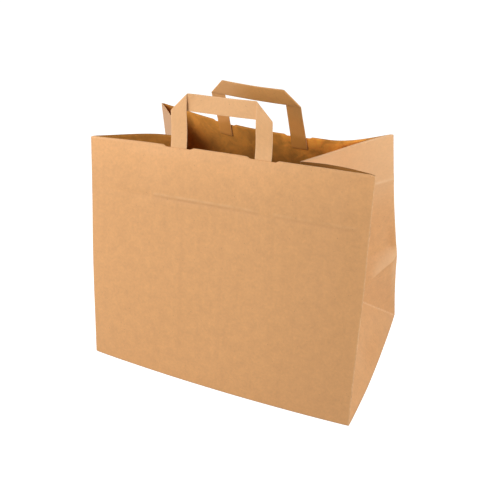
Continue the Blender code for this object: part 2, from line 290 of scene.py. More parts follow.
def stations(start, end, spacing, near=(), close=()):
    """Stations from start to end, with close ones beside the marks in near."""
    count = max(int(round((end - start) / spacing)), 1)
    values = list(np.linspace(start, end, count + 1))
    for mark in near:
        values = [v for v in values if abs(v - mark) > close[-1] + spacing / 3.0
                  or v in (start, end)]
        values += [mark] + [mark + side * gap for side in (-1.0, 1.0) for gap in close]
    inside = sorted(v for v in values if start - WELD <= v <= end + WELD)
    kept = [inside[0]]
    for value in inside[1:]:
        if value - kept[-1] > WELD * 4.0:
            kept.append(value)
    return np.array(kept)


# The folded sheet

class BagShape:
    """Where each point of the folded paper lies in space."""

    def __init__(self, sizes, seed):
        self.s = sizes
        self.seed = seed
        self.base_z = 2.0 * sizes.sheet
        half_w, half_d = sizes.width / 2.0, sizes.gusset / 2.0
        lean, twist, back = sizes.front_lean, sizes.front_twist, sizes.back_lean
        self.corner = {}
        self.top = {}
        for face, side, angle, pinch in (("front", -1, lean - twist, sizes.front_pinch),
                                         ("front", 1, lean + twist, sizes.front_pinch),
                                         ("back", -1, back, sizes.back_pinch_left),
                                         ("back", 1, back, sizes.back_pinch_right)):
            push = sizes.base_push if face == "front" else 0.0
            y = -half_d - push if face == "front" else half_d
            corner = np.array([side * half_w, y, self.base_z])
            run = math.sqrt(sizes.height ** 2 - pinch ** 2)
            inward = 1.0 if face == "front" else -1.0
            rise = [-side * pinch, inward * run * math.sin(angle) + push, run * math.cos(angle)]
            self.corner[face, side] = corner
            self.top[face, side] = corner + np.array(rise)
        self.apex = {side: self.find_apex(side) for side in (-1, 1)}
        self.crease = {side: self.find_crease_top(side) for side in (-1, 1)}
        self.normal = {face: self.panel_normal(face) for face in ("front", "back")}

    def find_apex(self, side):
        """Where a gusset's two 45 degree folds meet, half a gusset above the bottom."""
        lean = (self.s.front_lean + self.s.back_lean) / 2.0
        upright = (1.0 - math.sin(lean)) / math.cos(lean)
        inwards = math.sqrt(1.0 - upright ** 2)
        half = self.s.gusset / 2.0
        x = side * (self.s.width / 2.0 - half * inwards)
        return np.array([x, 0.0, self.base_z + half * upright])

    def find_crease_top(self, side):
        """Top end of a gusset's centre crease, from the paper's three fixed lengths."""
        front, back, apex = self.top["front", side], self.top["back", side], self.apex[side]
        half = self.s.gusset / 2.0
        half -= 8.0 / 3.0 * self.s.back_half_bow ** 2 / half  # a bowed edge reaches less far
        crease = self.s.height - self.s.gusset / 2.0
        span = back - front
        along = unit(span)
        middle = (front + back) / 2.0
        to_apex = apex - middle
        apex_along = float(to_apex @ along)
        across = to_apex - along * apex_along
        apex_across = float(np.linalg.norm(across))
        across = unit(across)
        reach = math.sqrt(half ** 2 - float(span @ span) / 4.0)
        flat = math.sqrt(crease ** 2 - apex_along ** 2)
        down = (reach ** 2 + apex_across ** 2 - flat ** 2) / (2.0 * apex_across)
        inward = math.sqrt(max(reach ** 2 - down ** 2, 0.0))
        normal = -outward(np.cross(along, across), side)
        drop = self.s.crease_sag if side > 0 else self.s.left_crease_sag
        shift = self.s.crease_shift if side > 0 else self.s.left_crease_shift
        sag = np.array([shift, self.s.crease_drift, drop])
        return middle + across * down + normal * inward - sag

    def panel_normal(self, face):
        """Outward direction of a panel's flat middle."""
        across = self.corner[face, 1] - self.corner[face, -1]
        up = self.top[face, 1] + self.top[face, -1] - self.corner[face, 1] - self.corner[face, -1]
        normal = unit(np.cross(across, up))
        return normal if face == "front" else -normal

    def base_line(self, face, u):
        """Front or back bottom fold, at share u from the left."""
        line = mix(self.corner[face, -1], self.corner[face, 1], u)
        if face == "front":
            line[..., 1] -= self.s.base_bow * arch(u)
        return line

    def top_line(self, face, u):
        """Front or back top edge, before it is cut back round the handles."""
        line = mix(self.top[face, -1], self.top[face, 1], u)
        if face == "front":
            flat_end = 0.2 + 0.8 * smooth((0.72 - u) / 0.30)
            bow = self.s.front_bow * smooth(u / 0.25) * flat_end * smooth((1.0 - u) / 0.2)
            line[..., 1] += bow
        else:
            rise = smooth(u / self.s.back_bow_left) * smooth((1.0 - u) / self.s.back_bow_right)
            line[..., 1] -= self.s.back_bow * rise ** self.s.back_bow_fullness
        return line

    def fold_shift(self, face, side, s):
        """How a corner fold strays from its straight line, at height s."""
        middle = self.s.gusset / 2.0
        shift = np.zeros(np.shape(s) + (3,))
        if face == "back":
            height, width = RIDGE_PEAK
            peak = np.maximum(0.0, 1.0 - abs(s - middle + RIDGE_DROP) / width)
            bulge = self.s.fold_bulge * bell((s - middle) / BULGE_LENGTH) + height * peak
            shift[..., 0] = side * bulge
        else:
            shift[..., 0] = side * 0.0010 * bell((s - middle * 1.3) / 0.060)
            shift[..., 1] = -0.0012 * bell((s - middle * 0.8) / 0.070)
        return shift * smooth(s / 0.02)[..., None]

    def panel_relief(self, face, x, s):
        """How far a panel stands out from its ruled surface."""
        w, h = self.s.width, self.s.height
        seed = self.seed + (0 if face == "front" else 3)
        inside = smooth(x / 0.030) * smooth((w - x) / 0.030) * smooth(s / 0.040)
        calm = 1.0 - 0.7 * smooth((s - h + 0.050) / 0.050)
        height, length = SWELL
        relief = height * waves(x, s * 0.7, length, seed) * inside * calm
        height, length = RIPPLE
        relief += height * waves(x, s * 0.5, length, seed + 1) * inside
        press = self.s.gusset - PRESS_DROP
        depth, width = PANEL_PRESS
        relief -= depth * bell((s - press) / width)
        if face == "front":
            turn, start = EDGE_CURL
            curl = smooth((s - h + start) / start) ** 1.5
            relief -= turn * curl * between(x, 0.060, 0.250, 0.050)
        else:
            height, width = BACK_RIDGE
            away = abs(s - self.s.gusset / 2.0)
            relief += height * np.maximum(0.0, 1.0 - away / width) ** 1.5 * inside
        return relief

    def panel(self, face, x, s):
        """Points of the front or back panel, x from its left fold and s up the paper."""
        u = x / self.s.width
        v = s / self.s.height
        points = mix(self.base_line(face, u), self.top_line(face, u), v)
        points += self.fold_shift(face, -1, s) * (1.0 - u)[..., None] ** 2
        points += self.fold_shift(face, 1, s) * u[..., None] ** 2
        return points + self.normal[face] * self.panel_relief(face, x, s)[..., None]

    def on_paper(self, face, x):
        """Place across the paper of a point that is at x on the top edge's chord."""
        left, right = self.top[face, -1][0], self.top[face, 1][0]
        return (x - left) / (right - left) * self.s.width

    def leg_middles(self, face, handles):
        """Places across the paper of the middles of a handle's two legs."""
        middle = handles.front_x if face == "front" else handles.back_x
        reach = (handles.span - handles.strip) / 2.0
        return [self.on_paper(face, middle + side * reach) for side in (-1, 1)]

    def notch(self, face, x, handles):
        """How far the top edge is cut back at x, beside each leg."""
        depth = np.zeros(np.shape(x))
        for centre in self.leg_middles(face, handles):
            away = abs(x - centre) - self.s.notch_width / 2.0
            depth = np.maximum(depth, smooth(0.5 - away / NOTCH_EDGE))
        return depth * self.s.notch_depth

    def diagonal(self, face, side, g):
        """The 45 degree fold of a gusset, from the corner to the apex."""
        return mix(self.corner[face, side], self.apex[side], g / (self.s.gusset / 2.0))

    def gusset_relief(self, g, s, side):
        """How far a gusset stands out from its ruled surface, g in from its corner fold.

        Folding the bag flat left a ridge across the gusset, with a hollow above it.
        """
        half = self.s.gusset / 2.0
        ridge = half - RIDGE_DROP - self.s.ridge_slope * g
        hollow = half + 0.0130 - 0.10 * g
        top = half + 0.060
        below = np.clip((s - g) / np.maximum(ridge - g, 0.004), 0.0, 1.0) ** 1.3
        middle = np.clip((s - ridge) / (hollow - ridge), 0.0, 1.0)
        above = smooth((s - hollow) / (top - hollow))
        drop = self.s.ridge_height + self.s.hollow_depth
        relief = self.s.ridge_height * below - drop * middle + self.s.hollow_depth * above
        relief *= smooth(g / 0.010) * smooth((ridge - g) / 0.016)
        relief *= 1.0 - smooth((g - 0.045) / (half - 0.045))
        press = self.s.gusset - PRESS_DROP
        height, width = GUSSET_PRESS
        relief += height * bell((s - press) / width) * smooth((half - g) / 0.02)
        inside = smooth(g / 0.014) * smooth((half - g) / 0.020) * smooth((s - g) / 0.020)
        height, length = GUSSET_SWELL
        return relief + height * waves(g, s * 0.7, length, self.seed + 9 + side) * inside

    def gusset_half(self, face, side, g, s):
        """Points of a gusset's half beside the front or back panel, above its diagonal."""
        half = self.s.gusset / 2.0
        toward = 1.0 if face == "front" else -1.0
        u = g / half
        top = mix(self.top[face, side], self.crease[side], u)
        bows = {("front", 1): self.s.front_half_bow, ("back", 1): self.s.back_half_bow,
                ("front", -1): self.s.left_front_bow, ("back", -1): self.s.left_back_bow}
        bow = bows[face, side]
        if face == "back":
            top[..., 2] += self.s.back_half_lift * 4.0 * u * (1.0 - u) * (1.3 - 0.6 * u)
        curve = 4.0 * u * (1.0 - u)
        if (face, side) == ("front", -1):
            curve = 3.8 * u ** 1.4 * np.clip(1.0 - u, 0.0, 1.0) ** 0.7
        top[..., 1] += toward * bow * curve
        low = self.diagonal(face, side, g)
        height = np.maximum(self.s.height - g, WELD)
        points = mix(low, top, (s - g) / height)
        reach = np.minimum(np.maximum(s, WELD), half)
        away = np.clip(1.0 - g / reach, 0.0, 1.0) ** 2
        points += self.fold_shift(face, side, s) * away[..., None]
        across = self.crease[side] - self.top[face, side]
        up = self.top[face, side] - self.corner[face, side]
        normal = outward(np.cross(across, up), side)
        return points + normal * self.gusset_relief(g, s, side)[..., None]

    def gusset_foot(self, side, w, s):
        """Points of a gusset's lower triangle, w across it and s up it."""
        half = self.s.gusset / 2.0
        front = self.diagonal("front", side, s)
        back = self.diagonal("back", side, s)
        points = mix(front, back, w)
        bow = self.s.base_side_bow * arch(w)
        low = (1.0 - s / half) ** 2
        points[..., 0] += side * bow * low
        across = abs(w - 0.5) * 2.0
        dip = smooth(1.0 - across) * smooth(s / 0.030) * (1.0 - s / half)
        puff = bell((w - 0.30) / 0.16) * bell((s - 0.032) / 0.026)
        normal = outward(np.cross(self.apex[side] - self.corner["front", side],
                                  self.corner["back", side] - self.corner["front", side]),
                         side)
        edge = np.minimum(w, 1.0 - w) * (half - s) * 2.0
        relief = (FOOT_PUFF * puff - FOOT_DIP * dip) * smooth(edge / 0.016)
        return points + normal * relief[..., None]

    def floor_of_bag(self, x, w):
        """Points of the flat bottom, w from its front fold to its back fold."""
        u = x / self.s.width
        points = mix(self.base_line("front", u), self.base_line("back", u), w)
        bow = self.s.base_side_bow * arch(w)
        points[..., 0] += (u - 0.5) * 2.0 * bow
        return points


class SheetMesh:
    """Collects the patches of the sheet, each with its place on the flat paper."""

    def __init__(self):
        self.bm = bmesh.new()
        self.uv = self.bm.loops.layers.uv.new(PAPER_UV)
        self.fold = self.bm.verts.layers.float.new(FOLD_ATTRIBUTE)
        self.soft = self.bm.verts.layers.float.new(SOFT_GROUP)

    def add(self, points, along, s, fold, soft):
        """Adds a grid of points as quads."""
        rows, columns = points.shape[:2]
        verts = []
        for i in range(rows):
            row = []
            for j in range(columns):
                vert = self.bm.verts.new(points[i, j])
                vert[self.fold] = fold[i, j]
                vert[self.soft] = soft[i, j]
                row.append(vert)
            verts.append(row)
        for i in range(rows - 1):
            for j in range(columns - 1):
                around = ((i, j), (i, j + 1), (i + 1, j + 1), (i + 1, j))
                face = self.bm.faces.new([verts[a][b] for a, b in around])
                for loop, (a, b) in zip(face.loops, around):
                    loop[self.uv].uv = (along[a, b], s[a, b])

    def finish(self, name, materials):
        """Welds the patches at their folds and returns the object."""
        bm = self.bm
        bmesh.ops.remove_doubles(bm, verts=bm.verts[:], dist=WELD)
        bmesh.ops.recalc_face_normals(bm, faces=bm.faces[:])
        soft = [vert[self.soft] for vert in bm.verts]
        mesh = bpy.data.meshes.new(name)
        for face in bm.faces:
            face.smooth = True
        bm.to_mesh(mesh)
        bm.free()
        obj = bpy.data.objects.new(name, mesh)
        for material in materials:
            mesh.materials.append(material)
        group = obj.vertex_groups.new(name=SOFT_GROUP)
        for index, weight in enumerate(soft):
            if weight > 0.01:
                group.add([index], weight, "REPLACE")
        bpy.context.scene.collection.objects.link(obj)
        return obj


def softness(distance, reach):
    """Full at a fold and zero past its reach."""
    return np.clip(1.0 - distance / reach, 0.0, 1.0)


def add_panels(sheet, shape, handles, rows):
    """The front and back panels."""
    sizes = shape.s
    w = sizes.width
    shared = stations(0.0, w, sizes.spacing, [0.0, w], CLOSE_LINES)
    for face in ("front", "back"):
        edges = [leg + side * sizes.notch_width / 2.0
                 for leg in shape.leg_middles(face, handles) for side in (-1, 1)]
        x = shared.copy()
        for edge in edges:
            near = np.argsort(abs(x - edge))[:2]
            first, second = sorted(near)
            x[first], x[second] = edge - NOTCH_STEP, edge + NOTCH_STEP
        grid_x, grid_s = np.meshgrid(x, rows)
        blend = smooth(grid_s / 0.05)
        grid_x = np.meshgrid(shared, rows)[0] * (1.0 - blend) + grid_x * blend
        grid_s[-1] -= shape.notch(face, grid_x[-1], handles)
        points = shape.panel(face, grid_x, grid_s)
        side_gap = np.minimum(grid_x, w - grid_x)
        fold = np.minimum(side_gap, grid_s)
        soft = np.maximum(softness(side_gap, sizes.fold_round),
                          softness(grid_s, sizes.fold_round * 1.2))
        start = 0.0 if face == "front" else w + sizes.gusset
        along = start + (grid_x if face == "front" else w - grid_x)
        sheet.add(points, along, grid_s, fold, soft)
    return shared


def add_gussets(sheet, shape, low_rows, high_rows):
    """Both gussets: two halves each, above their diagonals, and the lower triangle."""
    sizes = shape.s
    half = sizes.gusset / 2.0
    g = stations(0.0, half, sizes.spacing, [0.0, half], CLOSE_LINES)
    w = np.linspace(0.0, 1.0, 37)
    for side in (-1, 1):
        start = sizes.width if side > 0 else 2.0 * sizes.width + sizes.gusset
        for face in ("front", "back"):
            for lower in (True, False):
                rows = low_rows if lower else high_rows
                grid_g, grid_s = np.meshgrid(g, rows)
                if lower:
                    grid_g = grid_g * (rows / half)[:, None]
                points = shape.gusset_half(face, side, grid_g, grid_s)
                to_crease = np.where(grid_s >= half, half - grid_g, half)
                fold = np.minimum(np.minimum(grid_g, to_crease), (grid_s - grid_g) * SLANT
                                  + np.where(grid_s >= half, half, 0.0))
                diagonal = np.where(grid_s > half, 1.0, (grid_s - grid_g) * SLANT)
                soft = np.maximum(softness(grid_g, sizes.fold_round),
                                  0.5 * softness(to_crease, CREASE_REACH))
                soft = np.maximum(soft, 0.5 * softness(diagonal, CREASE_REACH))
                forwards = (face == "front") == (side > 0)
                along = start + (grid_g if forwards else sizes.gusset - grid_g)
                sheet.add(points, along, grid_s, fold, soft)
        grid_w, grid_s = np.meshgrid(w, low_rows)
        points = shape.gusset_foot(side, grid_w, grid_s)
        across = grid_s + grid_w * (sizes.gusset - 2.0 * grid_s)
        edge = np.minimum(grid_w, 1.0 - grid_w) * (half - grid_s) * 2.0
        fold = np.minimum(edge * SLANT, grid_s)
        soft = np.maximum(0.5 * softness(edge * SLANT, CREASE_REACH),
                          softness(grid_s, sizes.fold_round))
        along = start + (across if side > 0 else sizes.gusset - across)
        sheet.add(points, along, grid_s, fold, soft)
    return w


def add_bottom(sheet, shape, x, w):
    """The flat bottom and the glued layers over and under it."""
    sizes = shape.s
    grid_x, grid_w = np.meshgrid(x, w)
    points = shape.floor_of_bag(grid_x, grid_w)
    depth = grid_w * sizes.gusset
    edge = np.minimum(np.minimum(grid_x, sizes.width - grid_x),
                      np.minimum(depth, sizes.gusset - depth))
    sheet.add(points, grid_x, -depth, edge, softness(edge, sizes.fold_round))


def add_layers(sheet, shape):
    """Loose layers: two bottom flaps, the folded ends seen inside, and the seam's lap."""
    sizes = shape.s
    half_w, half_d = sizes.width / 2.0, sizes.gusset / 2.0
    t, u = np.meshgrid(np.linspace(0.0, 1.0, 33), np.linspace(0.0, 1.0, 9))
    hard = np.zeros_like(t)
    reach = half_d - FLAP_INSET + sizes.flap_overlap / 2.0
    for side, z in ((-1, sizes.sheet), (1, 0.0)):
        x = (t * 2.0 - 1.0) * (half_w - FLAP_INSET - u * reach)
        y = side * (half_d - FLAP_INSET - u * reach)
        points = np.stack([x, y, np.full_like(x, z + LAYER_GAP)], axis=-1)
        sheet.add(points, x + half_w, -half_d - side * u * reach, hard + OFF_FOLD, hard)
    lift = shape.base_z + END_LIFT * sizes.sheet
    for side in (-1, 1):
        x = side * (half_w - END_INSET - u * (half_d - END_SHORT))
        y = (t * 2.0 - 1.0) * (half_d - END_INSET - u * (half_d - END_SHORT))
        points = np.stack([x, y, np.full_like(x, lift)], axis=-1)
        sheet.add(points, y + half_d, -u * half_d, hard + OFF_FOLD, hard)
    s, lap = np.meshgrid(np.linspace(0.002, sizes.height - 0.001, 60),
                         np.linspace(sizes.seam_inset, sizes.seam_inset + sizes.seam_lap, 5))
    points = shape.panel("back", lap, s) + shape.normal["back"] * sizes.sheet * LAP_LIFT
    hard = np.zeros_like(s)
    start = sizes.width * 2.0 + sizes.gusset
    sheet.add(points, start - lap, s, hard + OFF_FOLD, hard)


# Handles

class HandleMap:
    """Places a handle's flat drawing on a panel: x across, z up from the edge, depth inwards."""

    def __init__(self, shape, face, middle, handles):
        self.shape = shape
        self.face = face
        self.h = handles
        self.middle = middle
        self.inward = -shape.normal[face]
        y = handles.front_y if face == "front" else handles.back_y
        self.origin = np.array([middle, y, handles.edge_z])
        yaw = handles.front_yaw if face == "front" else handles.back_yaw
        tilt = handles.front_tilt if face == "front" else handles.back_tilt
        self.across = np.array([math.cos(yaw), math.sin(yaw), 0.0])
        level = unit(np.cross(np.array([0.0, 0.0, 1.0]), self.across))
        level = level if face == "front" else -level
        self.rise = level * math.sin(tilt) + np.array([0.0, 0.0, math.cos(tilt)])
        self.depth = self.facing(self.across, self.rise)

    def facing(self, across, rise):
        normal = unit(np.cross(across, rise))
        return normal if float(normal @ self.inward) > 0.0 else -normal

    def at(self, x, s):
        across = self.shape.on_paper(self.face, self.middle + x)
        return self.shape.panel(self.face, np.array(across), np.array(s))

    def frame(self, x):
        """Top edge point, direction up the panel and direction to the inside, at x."""
        top = self.shape.s.height
        point = self.at(x, top)
        rise = unit(point - self.at(x, top - 0.020))
        step = 0.006
        return point, rise, self.facing(self.at(x + step, top) - self.at(x - step, top), rise)

    def place(self, x, z, depth):
        """On the panel below its edge, and going over to one flat plane above it."""
        top = self.shape.s.height
        point, rise, facing = self.frame(x)
        on_panel = self.at(x, top + z) if z < 0.0 else point + rise * z
        on_panel = on_panel + facing * depth
        on_plane = self.origin + self.across * x + self.rise * z + self.depth * depth
        share = float(smooth(z / (self.h.rise - self.h.strip)))
        return on_panel + (on_plane - on_panel) * share


def corner_fold(handles, side):
    """Rungs round one 45 degree corner, from the leg's layer to the strip's layer."""
    half = handles.span / 2.0
    shift = handles.corner_shift
    away = unit(np.array([side, 0.0, 1.0]))
    radius = handles.fold_radius
    rungs = []
    for i in range(FOLD_STEPS + 1):
        turn = math.pi * i / FOLD_STEPS
        push = away * radius * math.sin(turn)
        push[1] = radius * (1.0 - math.cos(turn))
        reach = half - shift * i / FOLD_STEPS
        height = handles.rise - shift * (1.0 - i / FOLD_STEPS)
        rungs.append((np.array([side * reach, 0.0, height - handles.strip]) + push,
                      np.array([side * (reach - handles.strip), 0.0, height]) + push))
    return rungs


def leg_rungs(handles, side):
    """Rungs up one leg, from its glued end to just before the corner fold."""
    half = handles.span / 2.0
    glued = handles.glued_left if side < 0.0 else handles.glued_right
    rungs = []
    inner_end = handles.rise - handles.corner_shift
    for t in [i / LEG_STEPS for i in range(LEG_STEPS)] + [LEG_END]:
        outer = -glued + t * (inner_end - handles.strip + glued)
        inner = -glued + t * (inner_end + glued)
        rungs.append((np.array([side * half, 0.0, outer]),
                      np.array([side * (half - handles.strip), 0.0, inner])))
    return rungs


def handle_rungs(handles, sprung):
    """The strip's rungs from one glued end to the other, in the handle's flat drawing."""
    left, right = [leg_rungs(handles, side) + corner_fold(handles, side)
                   for side in (-1.0, 1.0)]
    start, end = left[-1], right[-1]
    first, last = SPAN_ENDS
    span = []
    for t in [first] + [i / SPAN_STEPS for i in range(1, SPAN_STEPS)] + [last]:
        open_fold = sprung * float(smooth(t / 0.14) * smooth((1.0 - t) / 0.8))
        sag = np.array([0.0, 0.0006 * math.sin(math.pi * t) + open_fold,
                        -0.0005 * math.sin(math.pi * t)])
        span.append((start[0] + (end[0] - start[0]) * t + sag,
                     start[1] + (end[1] - start[1]) * t + sag))
    return left + span + right[::-1]


def build_handle(name, shape, face, middle, handles, sprung, materials):
    """One handle, as a thick strip with pressed edges."""
    handle_map = HandleMap(shape, face, middle, handles)
    wall = shape.s.sheet + handles.glue_gap + handles.thickness / 2.0
    bm = bmesh.new()
    uv = bm.loops.layers.uv.new(PAPER_UV)
    from_leg = bm.verts.layers.float.new(FOLD_ATTRIBUTE)
    leg_edge = handles.strip - handles.span / 2.0
    rows = []
    lengths = []
    along = 0.0
    before = None
    for outer, inner in handle_rungs(handles, sprung):
        middle_point = (outer + inner) / 2.0
        if before is not None:
            along += float(np.linalg.norm(middle_point - before))
        before = middle_point
        lengths.append(along)
        row = []
        for i in range(STRIP_COLUMNS + 1):
            p = outer + (inner - outer) * (i / STRIP_COLUMNS)
            place = handle_map.place(p[0], p[2], wall + p[1])
            flutter = 0.0003 * noise.noise(Vector((p[0] * 40.0, p[2] * 40.0, len(name))))
            place = place + handle_map.depth * flutter * float(smooth(p[2] / 0.02))
            vert = bm.verts.new(place)
            vert[from_leg] = p[0] - leg_edge if p[1] > handles.fold_radius else 1.0
            row.append(vert)
        rows.append(row)
    for k, (low, high) in enumerate(zip(rows, rows[1:])):
        for i in range(STRIP_COLUMNS):
            face_made = bm.faces.new((low[i], low[i + 1], high[i + 1], high[i]))
            face_made.smooth = True
            places = ((i, k), (i + 1, k), (i + 1, k + 1), (i, k + 1))
            for loop, (a, b) in zip(face_made.loops, places):
                loop[uv].uv = (a / STRIP_COLUMNS * handles.strip, lengths[b])
    mesh = bpy.data.meshes.new(name)
    bm.to_mesh(mesh)
    bm.free()
    obj = bpy.data.objects.new(name, mesh)
    for material in materials:
        mesh.materials.append(material)
    bpy.context.scene.collection.objects.link(obj)
    thick = obj.modifiers.new("plies", "SOLIDIFY")
    thick.thickness = handles.thickness
    thick.offset = 0.0
    thick.use_even_offset = True
    thick.material_offset_rim = 1
    bevel = obj.modifiers.new("pressed_edges", "BEVEL")
    bevel.width = handles.thickness * 0.28
    bevel.segments = 2
    bevel.limit_method = "ANGLE"
    bevel.angle_limit = math.radians(60.0)
    return obj


# Shader node helpers

def node(tree, kind, inputs=None, **settings):
    """Adds a node, with values or sockets for its inputs."""
    made = tree.nodes.new(kind)
    for name, value in settings.items():
        setattr(made, name, value)
    for name, value in (inputs or {}).items():
        if isinstance(value, bpy.types.NodeSocket):
            tree.links.new(value, made.inputs[name])
        else:
            made.inputs[name].default_value = value
    return made


def maths(tree, operation, first, second=None):
    inputs = {0: first} if second is None else {0: first, 1: second}
    return node(tree, "ShaderNodeMath", inputs, operation=operation).outputs[0]


def product(tree, *factors):
    """All the factors multiplied together."""
    result = factors[0]
    for factor in factors[1:]:
        result = maths(tree, "MULTIPLY", result, factor)
    return result


def ramp(tree, value, low, high, out_low=0.0, out_high=1.0):
    """A smooth step of value between low and high."""
    made = node(tree, "ShaderNodeMapRange",
                {"Value": value, "From Min": low, "From Max": high,
                 "To Min": out_low, "To Max": out_high},
                interpolation_type="SMOOTHSTEP")
    return made.outputs["Result"]


def band(tree, value, low, high, soft):
    """One between low and high, with soft ends."""
    up = ramp(tree, value, low - soft, low + soft)
    down = ramp(tree, value, high - soft, high + soft, 1.0, 0.0)
    return product(tree, up, down)


def clouding(tree, place, scale, detail, **more):
    """Smooth noise of about 0.5, over a place on the paper."""
    inputs = {"Vector": place, "Scale": scale, "Detail": detail, **more}
    return node(tree, "ShaderNodeTexNoise", inputs).outputs["Fac"]


def blend_colour(tree, factor, first, second, kind="MIX"):
    """Two colours mixed. Sockets 6 and 7 of this node are its colour inputs."""
    inputs = {"Factor": factor, 6: first, 7: second}
    return node(tree, "ShaderNodeMix", inputs, data_type="RGBA", blend_type=kind).outputs[2]


def rgba(colour):
    return (*colour, 1.0)


# Shared effects, as node groups over the flat paper

def new_group(name, values, outputs):
    """A node group that takes the place on the paper and some values, by their names."""
    tree = bpy.data.node_groups.new(name, "ShaderNodeTree")
    tree.interface.new_socket(name="Paper", in_out="INPUT", socket_type="NodeSocketVector")
    for socket, default in values.items():
        made = tree.interface.new_socket(name=socket, in_out="INPUT",
                                         socket_type="NodeSocketFloat")
        made.default_value = default
    for socket in outputs:
        tree.interface.new_socket(name=socket, in_out="OUTPUT", socket_type="NodeSocketFloat")
    start = tree.nodes.new("NodeGroupInput").outputs
    end = tree.nodes.new("NodeGroupOutput").inputs
    return tree, start, end


def kraft_pulp_group(name):
    """Cloudy pulp, crossing fibres and bark specks."""
    tree, start, end = new_group(name, {"Clouds": 0.06, "Fibres": 0.05, "Speck Share": 0.03},
                                 ("Tone", "Specks", "Height"))
    paper = start["Paper"]
    clouds = maths(tree, "SUBTRACT", clouding(tree, paper, 330.0, 5.0, Roughness=0.66), 0.5)
    patches = maths(tree, "SUBTRACT", clouding(tree, paper, 90.0, 2.0), 0.5)
    fibres = -1.5
    for angle, offset in ((0.5, 0.0), (-0.4, 3.0), (1.5, 7.0)):
        turned = node(tree, "ShaderNodeMapping",
                      {"Vector": paper, "Location": (offset, offset, offset),
                       "Rotation": (0.0, 0.0, angle), "Scale": (2600.0, 260.0, 1.0)})
        fibre = clouding(tree, turned.outputs[0], 1.0, 2.0, Distortion=0.8)
        fibres = maths(tree, "ADD", fibre, fibres)
    tone = maths(tree, "ADD", product(tree, clouds, start["Clouds"]),
                 product(tree, fibres, start["Fibres"]))
    tone = maths(tree, "ADD", tone, product(tree, start["Clouds"], 0.60, patches))
    tree.links.new(maths(tree, "ADD", tone, 1.0), end["Tone"])
    dots = node(tree, "ShaderNodeTexVoronoi", {"Vector": paper, "Scale": 420.0}).outputs
    pick = node(tree, "ShaderNodeSeparateColor", {"Color": dots["Color"]})
    chosen = maths(tree, "LESS_THAN", pick.outputs[0], start["Speck Share"])
    near = ramp(tree, dots["Distance"], 0.10, 0.28, 1.0, 0.0)
    tree.links.new(product(tree, chosen, near), end["Specks"])
    height = maths(tree, "ADD", product(tree, clouds, 0.00009), product(tree, fibres, 0.00002))
    tree.links.new(height, end["Height"])
    return tree


def press_line_group(name):
    """A slightly wandering line, where the distance from it is zero."""
    tree, start, end = new_group(name, {"Distance": 0.0, "Width": 0.001, "Strength": 1.0},
                                 ("Mask",))
    wander = maths(tree, "SUBTRACT", clouding(tree, start["Paper"], 60.0, 3.0), 0.5)
    distance = maths(tree, "ADD", start["Distance"], product(tree, wander, 0.0014))
    away = maths(tree, "DIVIDE", distance, start["Width"])
    line = maths(tree, "EXPONENT", product(tree, away, away, -1.0))
    uneven = ramp(tree, clouding(tree, start["Paper"], 90.0, 3.0), 0.30, 0.62, 0.35, 1.0)
    tree.links.new(product(tree, line, uneven, start["Strength"]), end["Mask"])
    return tree


def fold_wear_group(name):
    """Pale wear along folds and cut edges, broken up by the fibres."""
    tree, start, end = new_group(name, {"Distance": 1.0, "Width": 0.0015, "Amount": 0.5},
                                 ("Mask",))
    away = maths(tree, "DIVIDE", start["Distance"], start["Width"])
    near = ramp(tree, away, 0.0, 1.0, 1.0, 0.0)
    uneven = ramp(tree, clouding(tree, start["Paper"], 340.0, 4.0), 0.32, 0.66, 0.25, 1.0)
    tree.links.new(product(tree, near, uneven, start["Amount"]), end["Mask"])
    return tree


def paper_groups():
    """The shared groups, each built the first time that it is asked for."""
    builders = {"kraft_pulp": kraft_pulp_group, "press_line": press_line_group,
                "fold_wear": fold_wear_group}
    return {name: bpy.data.node_groups.get(name) or build(name)
            for name, build in builders.items()}


# Paper finishes

